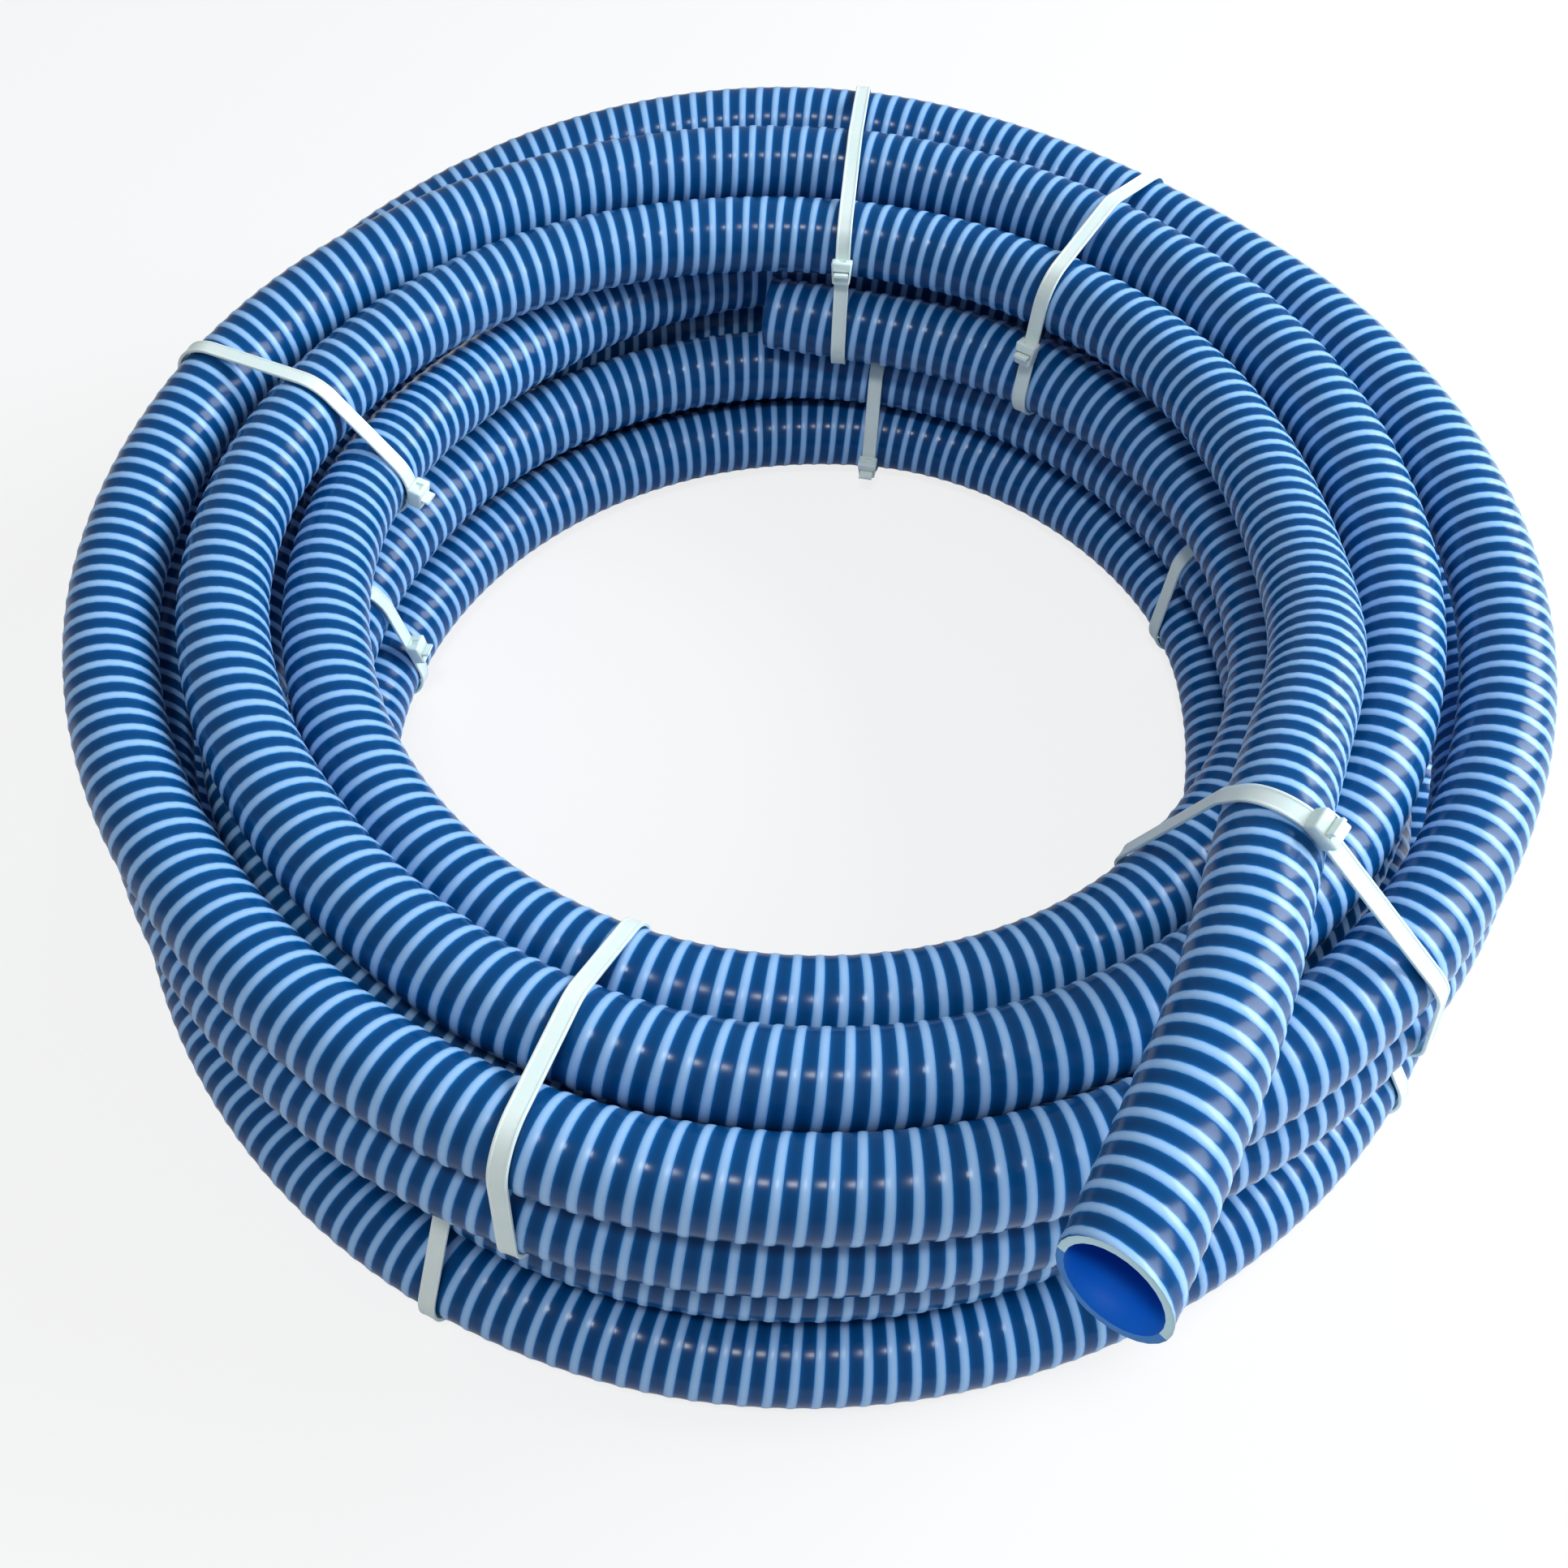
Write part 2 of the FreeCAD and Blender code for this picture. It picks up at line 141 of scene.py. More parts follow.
route = [inner_tip, coil_start]
for radius, angle, height in zip(radii, angles, heights):
    route.append(pile_middle + Vector((radius * math.cos(angle), radius * math.sin(angle), height)))
route.append(coil_end)
route.append(coil_end + last_way * loose_straight)
for point in loose_points:
    route.append(coil_end + Vector(point))
loose_way = (route[-1] - route[-2]).normalized()
route.append(route[-1] + loose_way * mouth_length)

line_curve = bpy.data.curves.new("hose_line", "CURVE")
line_curve.dimensions = "3D"
line_curve.resolution_u = 12
spline = line_curve.splines.new("NURBS")
spline.points.add(len(route) - 1)
for point, place in zip(spline.points, route):
    point.co = (place.x, place.y, place.z, 1.0)
spline.order_u = 3
spline.use_endpoint_u = True
line_object = bpy.data.objects.new("hose_line", line_curve)
line_mesh = bpy.data.meshes.new_from_object(line_object)
line = np.empty(len(line_mesh.vertices) * 3)
line_mesh.vertices.foreach_get("co", line)
line = line.reshape(-1, 3)
bpy.data.objects.remove(line_object)
bpy.data.meshes.remove(line_mesh)

runs = np.linalg.norm(np.diff(line, axis=0), axis=1)
line = line[np.concatenate([[True], runs > shortest_run])]
runs = np.linalg.norm(np.diff(line, axis=0), axis=1)
distance = np.concatenate([[0.0], np.cumsum(runs)])
hose_length = distance[-1]
ways = np.gradient(line, distance, axis=0)
ways /= np.linalg.norm(ways, axis=1)[:, None]
sides = np.cross(ways, (0.0, 0.0, 1.0))
sides /= np.linalg.norm(sides, axis=1)[:, None]
ups = np.cross(sides, ways)


# Slanting cut. Near the loose end the spiral's turns lean over, until the last one lies along the
# cut. The hose is longest at longest_at round its line, and the line runs on past both its ends.
cut_slant = 0.011
longest_at = math.radians(210.0)
leaning_length = 0.070
beyond_ends = 0.020
measure = np.concatenate([[-beyond_ends], distance, [hose_length + beyond_ends]])
before_start = line[:1] - ways[:1] * beyond_ends
after_end = line[-1:] + ways[-1:] * beyond_ends
centres = np.concatenate([before_start, line, after_end])
side_ways = np.concatenate([sides[:1], sides, sides[-1:]])
up_ways = np.concatenate([ups[:1], ups, ups[-1:]])


def lay_along_line(mesh):
    """Bends a mesh that was made straight along Z round the hose's line."""
    places = np.empty(len(mesh.vertices) * 3)
    mesh.vertices.foreach_get("co", places)
    across, over, along = places.reshape(-1, 3).T
    near_end = np.clip(1.0 - (hose_length - along) / leaning_length, 0.0, 1.0)
    lean = across * math.cos(longest_at) + over * math.sin(longest_at)
    along = along + near_end * near_end * lean * cut_slant / hose_diameter
    bent = np.empty((len(along), 3))
    for axis in range(3):
        centre = np.interp(along, measure, centres[:, axis])
        side = np.interp(along, measure, side_ways[:, axis])
        up = np.interp(along, measure, up_ways[:, axis])
        bent[:, axis] = centre + across * side + over * up
    mesh.vertices.foreach_set("co", bent.ravel())
    mesh.update()


seam_reach = 0.00002


def repeat_along_z(bm, name, count, pitch, materials):
    """Mesh of a module repeated end to end along Z, its seams merged."""
    module = bpy.data.meshes.new(name)
    bm.to_mesh(module)
    bm.free()
    for material in materials:
        module.materials.append(material)
    maker = bpy.data.objects.new(name, module)
    bpy.context.collection.objects.link(maker)
    array = maker.modifiers.new("Array", "ARRAY")
    array.use_relative_offset = False
    array.use_constant_offset = True
    array.constant_offset_displace = (0.0, 0.0, pitch)
    array.count = count
    array.use_merge_vertices = True
    array.merge_threshold = seam_reach
    evaluated = maker.evaluated_get(bpy.context.evaluated_depsgraph_get())
    mesh = bpy.data.meshes.new_from_object(evaluated)
    mesh.name = name
    bpy.data.objects.remove(maker)
    bpy.data.meshes.remove(module)
    return mesh


# Plastics. Each has a colour that follows the surface's rise or its slight clouding, and a gloss
# that is duller in patches where handling has rubbed it.
clouding_scale = 22.0
rub_scale = 45.0
glossiest = -0.04
dullest = 0.06
glow_depth = 0.003


def node(tree, kind, place, **settings):
    """New shader node with its settings."""
    made = tree.nodes.new(kind)
    made.location = place
    for name, value in settings.items():
        setattr(made, name, value)
    return made


def ramp(tree, place, stops):
    """Colour ramp from (position, colour) stops."""
    made = node(tree, "ShaderNodeValToRGB", place)
    while len(made.color_ramp.elements) < len(stops):
        made.color_ramp.elements.new(0.5)
    for element, (position, colour) in zip(made.color_ramp.elements, stops):
        element.position = position
        element.color = (*colour, 1.0)
    return made


def plastic_material(name, pattern, stops, roughness, gloss, subsurface):
    """Plastic coloured by stops along a pattern, which is clouding or a mesh attribute's name."""
    material = bpy.data.materials.new(name)
    material.use_nodes = True
    tree = material.node_tree
    shader = tree.nodes["Principled BSDF"]
    coordinates = node(tree, "ShaderNodeTexCoord", (-1100, 0))
    colours = ramp(tree, (-450, 150), stops)
    if pattern == "clouding":
        clouds = node(tree, "ShaderNodeTexNoise", (-800, 150))
        clouds.inputs["Scale"].default_value = clouding_scale
        clouds.inputs["Detail"].default_value = 3.0
        tree.links.new(coordinates.outputs["Object"], clouds.inputs["Vector"])
        tree.links.new(clouds.outputs["Fac"], colours.inputs["Fac"])
    else:
        rise = node(tree, "ShaderNodeAttribute", (-800, 150), attribute_name=pattern)
        tree.links.new(rise.outputs["Fac"], colours.inputs["Fac"])
    rub = node(tree, "ShaderNodeTexNoise", (-800, -200))
    rub.inputs["Scale"].default_value = rub_scale
    rub.inputs["Detail"].default_value = 4.0
    dulling = node(tree, "ShaderNodeMapRange", (-450, -200))
    dulling.inputs["From Min"].default_value = 0.3
    dulling.inputs["From Max"].default_value = 0.7
    dulling.inputs["To Min"].default_value = roughness + glossiest
    dulling.inputs["To Max"].default_value = roughness + dullest
    tree.links.new(coordinates.outputs["Object"], rub.inputs["Vector"])
    tree.links.new(rub.outputs["Fac"], dulling.inputs["Value"])
    tree.links.new(dulling.outputs["Result"], shader.inputs["Roughness"])
    tree.links.new(colours.outputs["Color"], shader.inputs["Base Color"])
    shader.inputs["Specular IOR Level"].default_value = gloss
    shader.inputs["Subsurface Weight"].default_value = subsurface
    shader.inputs["Subsurface Radius"].default_value = (0.3, 0.7, 1.0)
    shader.inputs["Subsurface Scale"].default_value = glow_depth
    return material


# Hose skin. Soft blue PVC, dyed through, wound as one ribbon with a pale rigid bead in it that
# keeps the hose round under suction. The bead stands proud and the soft wall sinks between its
# turns. The skin is made in five lengths, so that none holds too many faces.
spiral_pitch = 0.0107
sides_round = 28
bead_half_width = 0.0022
crest_radius = 0.0225
bead_edge_radius = 0.02218
lowest_radius = 0.02203
turn_profile = [
    (-bead_half_width, bead_edge_radius), (-0.0012, 0.02242), (0.0, crest_radius),
    (0.0012, 0.02242), (bead_half_width, bead_edge_radius), (0.0034, 0.02209),
    (spiral_pitch / 2, lowest_radius), (0.0073, 0.02209),
    (spiral_pitch - bead_half_width, bead_edge_radius),
]
weld_reach = 0.00001
cut_reach = 0.000001
skin_lengths = 5
bead_meets_cut_at = math.radians(125.0)
first_turn = hose_length - spiral_pitch * bead_meets_cut_at / (2 * math.pi)
first_turn -= math.ceil(first_turn / spiral_pitch) * spiral_pitch + spiral_pitch
skin_turns = math.ceil((hose_length - first_turn) / spiral_pitch)
turns_each = math.ceil(skin_turns / skin_lengths)
soft_wall = plastic_material(
    "blue_soft_pvc", "rise",
    [(0.0, (0.0018, 0.053, 0.178)), (0.15, (0.0022, 0.062, 0.205)), (0.32, (0.0050, 0.105, 0.330))],
    0.20, 0.20, 0.0,
)
rigid_bead = plastic_material(
    "pale_rigid_bead", "rise",
    [(0.32, (0.080, 0.270, 0.600)), (0.70, (0.250, 0.475, 0.800)), (1.00, (0.345, 0.555, 0.850))],
    0.30, 0.34, 0.1,
)

for k in range(skin_lengths):
    bm = bmesh.new()
    verts = [bm.verts.new((radius, 0.0, z)) for z, radius in turn_profile]
    edges = [bm.edges.new(pair) for pair in zip(verts, verts[1:])]
    bmesh.ops.spin(
        bm, geom=verts + edges, cent=(0.0, 0.0, 0.0), axis=(0.0, 0.0, 1.0),
        dvec=(0.0, 0.0, spiral_pitch / sides_round), angle=2 * math.pi, steps=sides_round,
    )
    bmesh.ops.remove_doubles(bm, verts=bm.verts[:], dist=weld_reach)
    for face in bm.faces:
        middle = face.calc_center_median()
        turned = math.atan2(middle.y, middle.x) % (2 * math.pi)
        from_bead = middle.z - spiral_pitch * turned / (2 * math.pi)
        face.material_index = 1 if abs(from_bead) < bead_half_width else 0
        face.smooth = True
        if face.normal.x * middle.x + face.normal.y * middle.y < 0:
            face.normal_flip()
    name = "hose_skin_%d" % (k + 1)
    mesh = repeat_along_z(bm, name, turns_each, spiral_pitch, (soft_wall, rigid_bead))
    bm = bmesh.new()
    bm.from_mesh(mesh)
    start = first_turn + k * turns_each * spiral_pitch
    bmesh.ops.translate(bm, verts=bm.verts[:], vec=(0.0, 0.0, start))
    for end, way in ((0.0, -1.0), (hose_length, 1.0)):
        everything = bm.verts[:] + bm.edges[:] + bm.faces[:]
        bmesh.ops.bisect_plane(
            bm, geom=everything, dist=cut_reach, plane_co=(0.0, 0.0, end),
            plane_no=(0.0, 0.0, way), clear_outer=True,
        )
    bm.to_mesh(mesh)
    bm.free()
    places = np.empty(len(mesh.vertices) * 3)
    mesh.vertices.foreach_get("co", places)
    radius = np.hypot(places[0::3], places[1::3])
    rise = mesh.attributes.new("rise", "FLOAT", "POINT")
    rise.data.foreach_set("value", (radius - lowest_radius) / (crest_radius - lowest_radius))
    lay_along_line(mesh)
    piece = bpy.data.objects.new(name, mesh)
    bpy.context.collection.objects.link(piece)
    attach(piece, "root")


# Hose wall. A plain tube lies under the skin and joins the two ends. Both ends are cut across the
# ribbon, so they show its thickness: the bead for bead_along_cut of a pitch, blue for the rest. The
# bore is smooth, and its blue is painted far brighter than the outer wall's: painted light that
# stands in for the light shining in through the translucent wall.
wall_radius = 0.0216
bore_radius = 0.019
bore_depth = 0.100
bore_steps = 10
bead_along_cut = 0.0061
tube_slot, cut_blue_slot, cut_bead_slot, bore_slot = range(4)
end_plastics = [
    ("cut_blue_pvc", [(0.3, (0.020, 0.190, 0.560)), (0.7, (0.030, 0.230, 0.640))], 0.45, 0.30, 0.2),
    ("cut_rigid_bead", [(0.3, (0.520, 0.800, 0.900)), (0.7, (0.600, 0.850, 0.930))], 0.50, 0.30, 0.2),
    # The bore's colour is painted light: a brighter copy of the blue PVC for light shining in through
    # the wall
    ("blue_bore_painted_light", [(0.3, (0.001, 0.125, 0.640)), (0.7, (0.002, 0.155, 0.740))], 0.55, 0.20, 0.0),
]
rings = math.ceil(hose_length / spiral_pitch)
ring_step = hose_length / rings
profile_places, profile_radii = zip(*turn_profile)


def grow(bm, edges):
    """Extrudes a ring of edges in place and gives the new ring's edges, points and faces."""
    grown = bmesh.ops.extrude_edge_only(bm, edges=edges)["geom"]
    kinds = (bmesh.types.BMEdge, bmesh.types.BMVert, bmesh.types.BMFace)
    return [[part for part in grown if isinstance(part, kind)] for kind in kinds]


def past_bead(end, place):
    """How far a point of a cut end lies past the near edge of the bead's last turn before it."""
    turned = math.atan2(place.y, place.x) % (2 * math.pi)
    from_edge = end - first_turn - spiral_pitch * turned / (2 * math.pi) + bead_half_width
    return from_edge % spiral_pitch


bm = bmesh.new()
bmesh.ops.create_circle(bm, segments=sides_round, radius=wall_radius)
edges, ring, faces = grow(bm, bm.edges[:])
bmesh.ops.translate(bm, verts=ring, vec=(0.0, 0.0, ring_step))
wall_mesh = repeat_along_z(bm, "hose_wall", rings, ring_step, (soft_wall,))

bm = bmesh.new()
bm.from_mesh(wall_mesh)
for end, inward in ((0.0, 1), (hose_length, -1)):
    edges = [e for e in bm.edges if e.is_boundary and abs(e.verts[0].co.z - end) < spiral_pitch / 2]
    edges, ring, faces = grow(bm, edges)
    for vert in ring:
        vert.co.z = end
        from_bead = past_bead(end, vert.co) - bead_half_width
        skin_radius = np.interp(from_bead, profile_places, profile_radii)
        vert.co.xy = vert.co.xy.normalized() * skin_radius
    edges, ring, cut_faces = grow(bm, edges)
    for vert in ring:
        vert.co.xy = vert.co.xy.normalized() * bore_radius
    for face in faces + cut_faces:
        on_bead = past_bead(end, face.calc_center_median()) < bead_along_cut
        face.material_index = cut_bead_slot if on_bead else cut_blue_slot
    for step in range(bore_steps):
        edges, ring, faces = grow(bm, edges)
        bmesh.ops.translate(bm, verts=ring, vec=(0.0, 0.0, inward * bore_depth / bore_steps))
        for face in faces:
            face.material_index = bore_slot
    for face in bmesh.ops.edgeloop_fill(bm, edges=edges)["faces"]:
        face.material_index = bore_slot
bmesh.ops.recalc_face_normals(bm, faces=bm.faces[:])
for face in bm.faces:
    face.smooth = face.material_index in (tube_slot, bore_slot)
bm.to_mesh(wall_mesh)
bm.free()
lay_along_line(wall_mesh)
for name, stops, roughness, gloss, subsurface in end_plastics:
    plastic = plastic_material(name, "clouding", stops, roughness, gloss, subsurface)
    wall_mesh.materials.append(plastic)
wall = bpy.data.objects.new("hose_wall", wall_mesh)
bpy.context.collection.objects.link(wall)
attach(wall, "root")
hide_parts("hose_coil", "hose_loose_end", "hose_loose_mouth", "hose_inner_mouth")


# Cable ties. Ten heavy ties of natural nylon, each moulded in one piece: a strap with a low rail
# along each edge, a head with a slot and a window for its pawl, and a tail that was cut short.
strap_inside = 0.0233
strap_fold = math.radians(7.5)
strap_half_width = 0.0045
strap_thickness = 0.0018
strap_section = [
    (0.0000, -0.0042), (0.0003, -0.0045), (0.0015, -0.0045), (0.0018, -0.0042),
    (0.0018, -0.0034), (0.00155, -0.0031), (0.00155, 0.0031), (0.0018, 0.0034),
    (0.0018, 0.0042), (0.0015, 0.0045), (0.0003, 0.0045), (0.0000, 0.0042),
]
head_size = (0.014, 0.013, 0.0085)
head_taper = (1.0, 0.82, 0.94)
head_rounding = 0.0012
slot_size = (0.0034, 0.0098, 0.0030)
window_size = (0.0040, 0.0045, 0.0015)
recess_rim = 0.0003
tail_section = [(-0.0008, -0.0043), (0.0008, -0.0043), (0.0008, 0.0043), (-0.0008, 0.0043)]
tail_in_head = 0.0030
tooth_pitch = 0.0015
tooth_share = 0.6
tooth_depth = 0.00035
sharp_from = math.radians(35.0)
least_slope = 0.000001
nylon = plastic_material(
    "natural_nylon", "clouding", [(0.3, (0.740, 0.880, 0.850)), (0.7, (0.830, 0.930, 0.900))],
    0.36, 0.45, 0.45,
)
# Name, azimuth in degrees on the floor, lean of the strap's plane off upright, lowest and highest
# layer bound, direction of the strand that carries the head, share of the way along the straight
# stretch beyond it, and length of the tail past the head
tie_plan = [
    ("tie_upper_back", 83.5, 0.0, 1.7, 9.0, 150.0, 0.2, 0.004),
    ("tie_upper_back_right", 54.0, 0.0, 1.7, 9.0, 150.0, 0.5, 0.004),
    ("tie_upper_right_front", -37.4, 12.5, 1.7, 9.0, 55.0, 0.0, 0.004),
    ("tie_upper_front", -109.4, 0.0, 1.7, 9.0, 215.0, 0.0, 0.004),
    ("tie_upper_left", 158.5, 0.0, 1.7, 9.0, 190.0, 0.0, 0.003),
    ("tie_lower_back", 78.0, 0.0, -1.0, 1.2, 190.0, 0.0, 0.005),
    ("tie_lower_right", 20.5, 0.0, -1.0, 1.2, 0.0, 0.0, 0.005),
    ("tie_lower_right_front", -37.5, 0.0, -1.0, 1.2, 180.0, 0.0, 0.005),
    ("tie_lower_front", -117.0, 0.0, -1.0, 1.2, 180.0, 0.0, 0.005),
    ("tie_lower_left", 168.0, 0.0, -1.0, 1.2, 175.0, -0.3, 0.003),
]


def strands_in_plane(outward, upward, across, low_layer, high_layer):
    """Points of a strap's plane that the bound strands reach at either edge of the strap."""
    from_middle = line - np.array(pile_middle)
    off = from_middle @ np.array(across)
    out = from_middle @ np.array(outward)
    up = from_middle @ np.array(upward)
    crosses = (off[:-1] * off[1:] <= 0) & (off[:-1] != off[1:]) & (out[:-1] > 0)
    found = []
    for i in np.nonzero(crosses)[0]:
        share = off[i] / (off[i] - off[i + 1])
        height = line[i, 2] + share * (line[i + 1, 2] - line[i, 2])
        layer = (height - lowest_axis) / layer_pitch
        if not low_layer <= layer <= high_layer:
            continue
        slope_out = (out[i + 1] - out[i]) / (off[i + 1] - off[i])
        slope_up = (up[i + 1] - up[i]) / (off[i + 1] - off[i])
        here_out = out[i] + share * (out[i + 1] - out[i])
        here_up = up[i] + share * (up[i + 1] - up[i])
        here = Vector((here_out, here_up))
        slope = max(math.hypot(slope_out, slope_up), least_slope)
        reach = crest_radius * (math.hypot(1.0, slope) - 1.0) / slope + strap_half_width
        found.append(here + Vector((slope_out, slope_up)) * reach)
        found.append(here - Vector((slope_out, slope_up)) * reach)
    return found


def strap_course(points):
    """Places and facings of a strap drawn tight round points, and the corners that it turns on."""
    corners = [points[i] for i in geometry.convex_hull_2d(points)]
    area = sum(a.x * b.y - b.x * a.y for a, b in zip(corners, corners[1:] + corners[:1]))
    if area < 0:
        corners.reverse()
    course = []
    for before, here, after in zip(corners[-1:] + corners[:-1], corners, corners[1:] + corners[:1]):
        facing = math.atan2(before.x - here.x, here.y - before.y)
        turn = (math.atan2(here.x - after.x, after.y - here.y) - facing) % (2 * math.pi)
        folds = math.ceil(turn / strap_fold)
        for k in range(folds + 1):
            way = facing + turn * k / folds
            place = here + Vector((math.cos(way), math.sin(way))) * strap_inside
            course.append((place, way))
    return course, corners


def head_place(corners, head_way, share):
    """Point of the course that carries the head, and the way that the head faces."""
    facing = Vector((math.cos(head_way), math.sin(head_way)))
    nearest = max(range(len(corners)), key=lambda i: corners[i].dot(facing))
    if share == 0:
        return corners[nearest], facing
    first = nearest if share > 0 else nearest - 1
    a = corners[first]
    b = corners[(first + 1) % len(corners)]
    return a.lerp(b, share % 1), Vector((b.y - a.y, a.x - b.x)).normalized()


def sweep(bm, section, frames):
    """Draws a section, given in the second and third axes of a frame, through a row of frames."""
    verts = [bm.verts.new(frames[0] @ Vector((0.0, *point))) for point in section]
    edges = [bm.edges.new(pair) for pair in zip(verts, verts[1:] + verts[:1])]
    first = edges
    for before, after in zip(frames, frames[1:]):
        edges, verts, _ = grow(bm, edges)
        bmesh.ops.transform(bm, matrix=after @ before.inverted(), verts=verts)
    return first, edges


def recess(bm, face, length, width, depth):
    """Sinks a window of the given size into the middle of a face of the head."""
    bmesh.ops.inset_region(bm, faces=[face], thickness=recess_rim)
    middle = face.calc_center_median()
    normal = face.normal.copy()
    for vert in face.verts:
        from_middle = vert.co - middle
        for axis, wanted in ((0, length), (1, width), (2, width)):
            if abs(normal[axis]) < 0.5:
                from_middle[axis] = math.copysign(wanted / 2, from_middle[axis])
        vert.co = middle + from_middle
    sunk = bmesh.ops.extrude_face_region(bm, geom=[face])["geom"]
    floor_verts = [v for v in sunk if isinstance(v, bmesh.types.BMVert)]
    bmesh.ops.delete(bm, geom=[face], context="FACES_ONLY")
    bmesh.ops.translate(bm, verts=floor_verts, vec=normal * -depth)


def make_head():
    """Mesh of a tie's head. The strap runs under it along X and the tail comes out of its top."""
    head = bmesh.new()
    bmesh.ops.create_cube(head, size=1.0)
    bmesh.ops.translate(head, verts=head.verts[:], vec=(0.0, 0.0, 0.5))
    bmesh.ops.scale(head, verts=head.verts[:], vec=head_size)
    root_end = [v for v in head.verts if v.co.x > 0]
    bmesh.ops.scale(head, verts=root_end, vec=head_taper)
    bmesh.ops.bevel(
        head, geom=head.edges[:], offset=head_rounding, segments=3, profile=0.5, affect="EDGES",
        material=-1,
    )
    top = max(head.faces, key=lambda f: f.calc_area() * f.normal.z)
    recess(head, top, *slot_size)
    far_end = max(head.faces, key=lambda f: -f.calc_area() * f.normal.x)
    recess(head, far_end, *window_size)
    mesh = bpy.data.meshes.new("tie_head")
    head.to_mesh(mesh)
    head.free()
    return mesh


def tail_frames(stand, tail):
    """Frames up a tail that comes out of the head, with a step at each tooth."""
    frames = []
    for k in range(math.floor((tail + tail_in_head) / tooth_pitch) + 1):
        foot = head_size[2] - tail_in_head + k * tooth_pitch
        for up, depth in ((0.0, tooth_depth), (tooth_share, 0.0)):
            level = Matrix((
                (0, 1, 0, depth),
                (0, 0, 1, 0),
                (1, 0, 0, foot + up * tooth_pitch),
                (0, 0, 0, 1),
            ))
            frames.append(stand @ level)
    return frames


head_mesh = make_head()
for name, azimuth, lean, low_layer, high_layer, head_way, share, tail in tie_plan:
    angle = math.radians(azimuth)
    tilt = math.radians(lean)
    outward = Vector((math.cos(angle), math.sin(angle), 0.0))
    level = Vector((-math.sin(angle), math.cos(angle), 0.0))
    upward = Vector((0.0, 0.0, math.cos(tilt))) - level * math.sin(tilt)
    across = Vector((0.0, 0.0, math.sin(tilt))) + level * math.cos(tilt)
    course, corners = strap_course(strands_in_plane(outward, upward, across, low_layer, high_layer))

    bm = bmesh.new()
    frames = []
    for place, way in course + course[:1]:
        face_out = outward * math.cos(way) + upward * math.sin(way)
        forward = upward * math.cos(way) - outward * math.sin(way)
        frame_matrix = Matrix((forward, face_out, across)).transposed().to_4x4()
        frame_matrix.translation = pile_middle + outward * place.x + upward * place.y
        frames.append(frame_matrix)
    sweep(bm, strap_section, frames)
    bmesh.ops.remove_doubles(bm, verts=bm.verts[:], dist=weld_reach)

    seat, facing = head_place(corners, math.radians(head_way), share)
    face_out = outward * facing.x + upward * facing.y
    forward = upward * facing.x - outward * facing.y
    stand = Matrix((forward, across, face_out)).transposed().to_4x4()
    middle = pile_middle + outward * seat.x + upward * seat.y
    stand.translation = middle + face_out * (strap_inside + strap_thickness / 2)

    placed_head = head_mesh.copy()
    placed_head.transform(stand)
    bm.from_mesh(placed_head)
    bpy.data.meshes.remove(placed_head)
    first, last = sweep(bm, tail_section, tail_frames(stand, tail))
    bmesh.ops.edgeloop_fill(bm, edges=first)
    bmesh.ops.edgeloop_fill(bm, edges=last)
    bmesh.ops.recalc_face_normals(bm, faces=bm.faces[:])
    for face in bm.faces:
        face.smooth = True
    mesh = bpy.data.meshes.new(name + "_nylon")
    bm.to_mesh(mesh)
    bm.free()
    mesh.set_sharp_from_angle(angle=sharp_from)
    mesh.materials.append(nylon)
    tie = bpy.data.objects.new(name + "_nylon", mesh)
    bpy.context.collection.objects.link(tie)
    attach(tie, "root")
    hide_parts(name)
bpy.data.meshes.remove(head_mesh)


# Floor and light. A plain white studio floor, a large soft light at the right, a smaller one
# over the camera and an even white surround.
floor_reach = 6.0
floor_glow_share = 0.8
surround_strength = 0.30
bm = bmesh.new()
bmesh.ops.create_grid(bm, x_segments=1, y_segments=1, size=floor_reach)
floor_mesh = bpy.data.meshes.new("studio_floor")
bm.to_mesh(floor_mesh)
bm.free()
floor = bpy.data.objects.new("studio_floor", floor_mesh)
bpy.context.collection.objects.link(floor)
floor_material = bpy.data.materials.new("white_floor")
floor_material.use_nodes = True
tree = floor_material.node_tree
paint = tree.nodes["Principled BSDF"]
paint.inputs["Base Color"].default_value = (0.85, 0.85, 0.86, 1.0)
paint.inputs["Roughness"].default_value = 0.9
glow = node(tree, "ShaderNodeEmission", (0, -300))
glow.inputs["Strength"].default_value = 1.0
rays = node(tree, "ShaderNodeLightPath", (-400, 300))
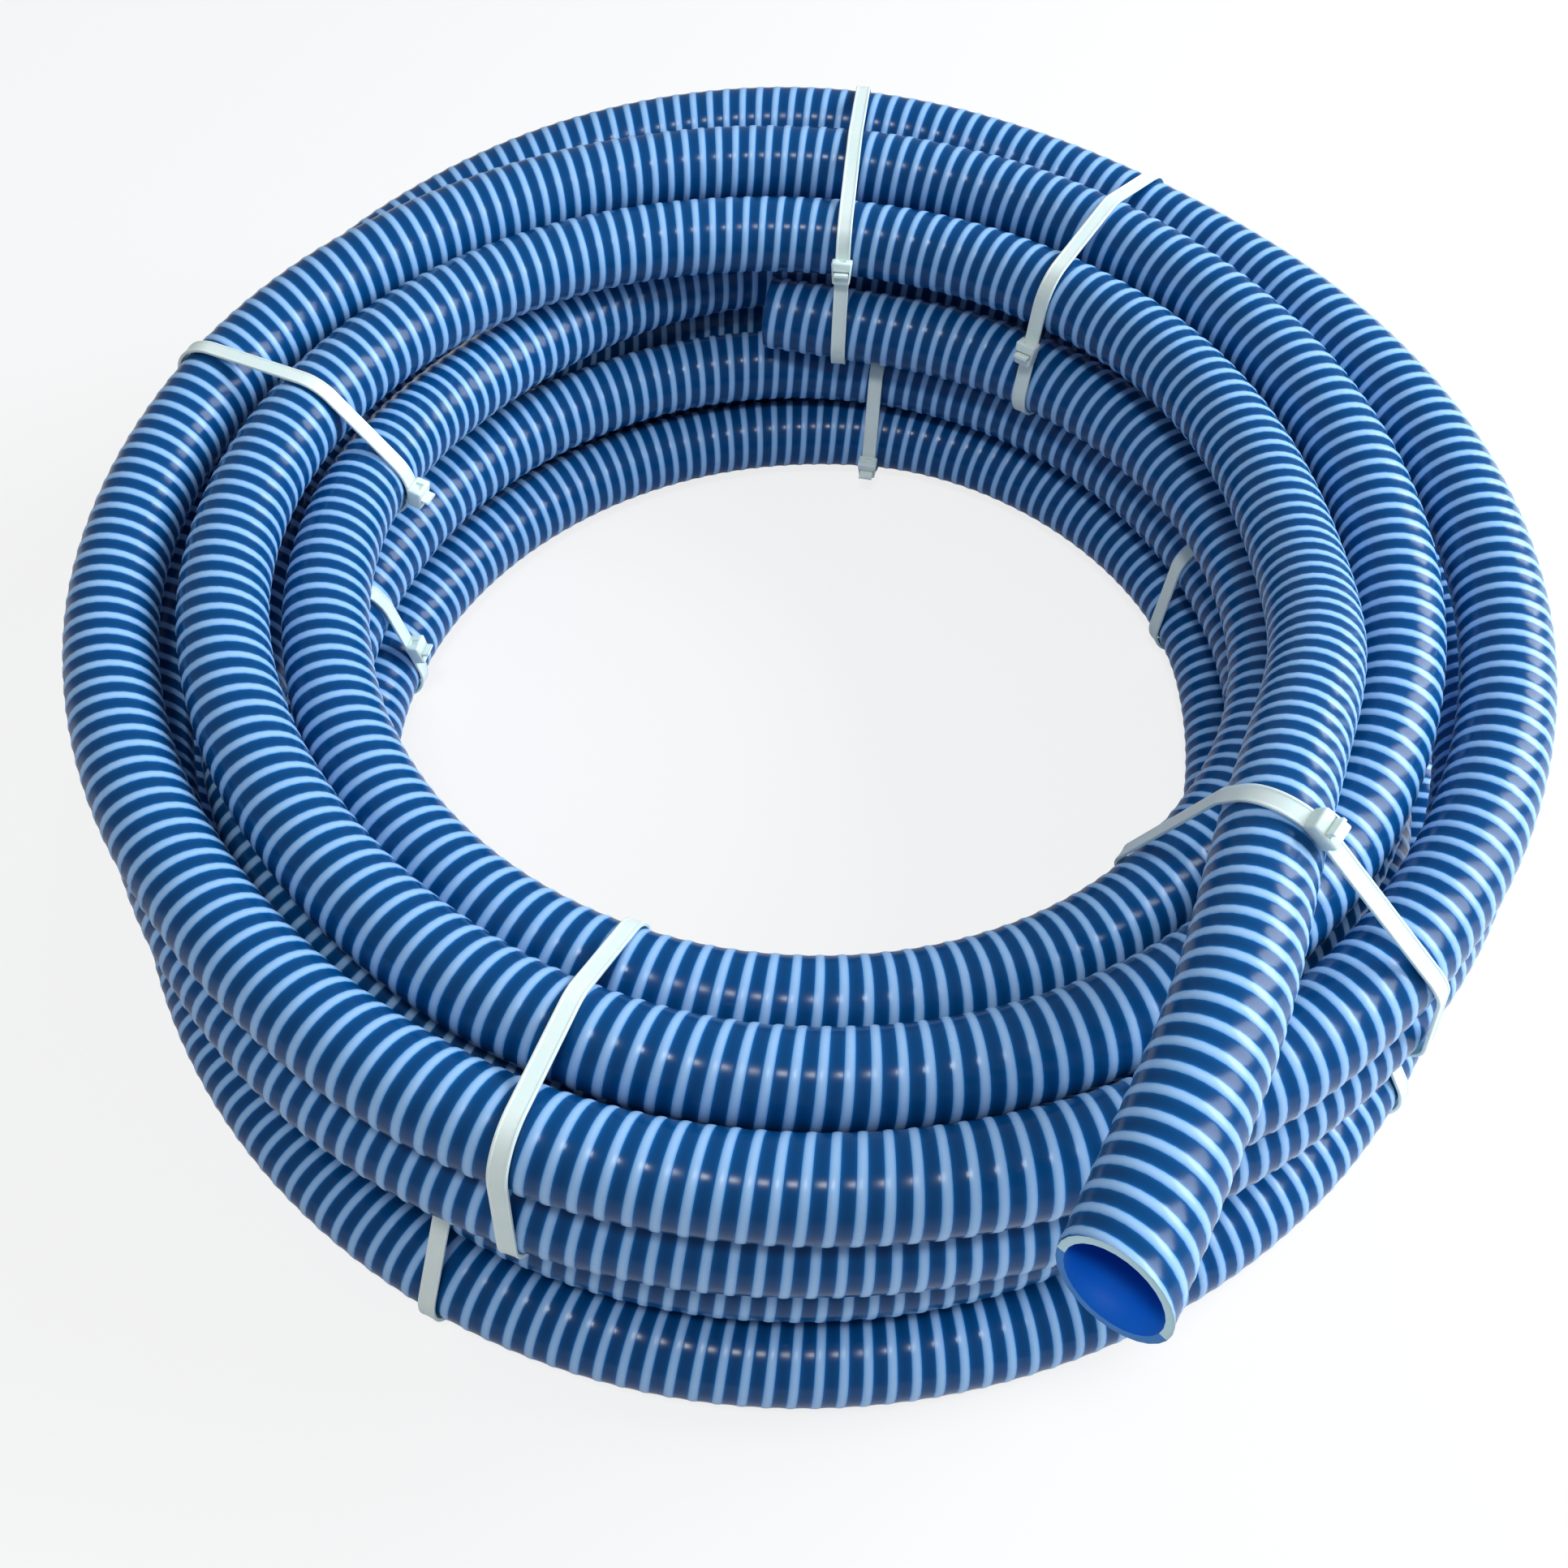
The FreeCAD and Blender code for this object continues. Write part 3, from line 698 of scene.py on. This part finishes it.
glow_share = node(tree, "ShaderNodeMath", (-150, 300), operation="MULTIPLY")
glow_share.inputs[1].default_value = floor_glow_share
blend = node(tree, "ShaderNodeMixShader", (300, 0))
tree.links.new(rays.outputs["Is Camera Ray"], glow_share.inputs[0])
tree.links.new(glow_share.outputs["Value"], blend.inputs["Fac"])
tree.links.new(paint.outputs["BSDF"], blend.inputs[1])
tree.links.new(glow.outputs["Emission"], blend.inputs[2])
tree.links.new(blend.outputs["Shader"], tree.nodes["Material Output"].inputs["Surface"])
floor_mesh.materials.append(floor_material)

world = bpy.data.worlds.new("studio")
bpy.context.scene.world = world
world.use_nodes = True
tree = world.node_tree
surround = tree.nodes["Background"]
surround.inputs["Color"].default_value = (0.92, 0.95, 1.0, 1.0)
surround.inputs["Strength"].default_value = surround_strength
plain = node(tree, "ShaderNodeBackground", (0, -200))
plain.inputs["Strength"].default_value = 1.0
rays = node(tree, "ShaderNodeLightPath", (-300, 300))
blend = node(tree, "ShaderNodeMixShader", (300, 0))
tree.links.new(rays.outputs["Is Camera Ray"], blend.inputs["Fac"])
tree.links.new(surround.outputs["Background"], blend.inputs[1])
tree.links.new(plain.outputs["Background"], blend.inputs[2])
tree.links.new(blend.outputs["Shader"], tree.nodes["World Output"].inputs["Surface"])


def area_light(name, place, target, size, power, colour):
    """Rectangular light of a width and height, aimed at a point."""
    lamp = bpy.data.lights.new(name, "AREA")
    lamp.shape = "RECTANGLE"
    lamp.size, lamp.size_y = size
    lamp.energy = power
    lamp.color = colour
    light = bpy.data.objects.new(name, lamp)
    light.location = place
    light.rotation_euler = (Vector(target) - Vector(place)).to_track_quat("-Z", "Y").to_euler()
    bpy.context.collection.objects.link(light)


area_light(
    "window_right", place=(1.85, 0.4, 1.25), target=(0.1, 0.0, 0.1), size=(1.5, 1.1), power=66.0,
    colour=(0.86, 0.94, 1.0),
)
area_light(
    "over_camera", place=(-0.1, -0.7, 1.9), target=(0.0, 0.0, 0.1), size=(0.35, 0.25), power=11.0,
    colour=(1.0, 1.0, 1.0),
)
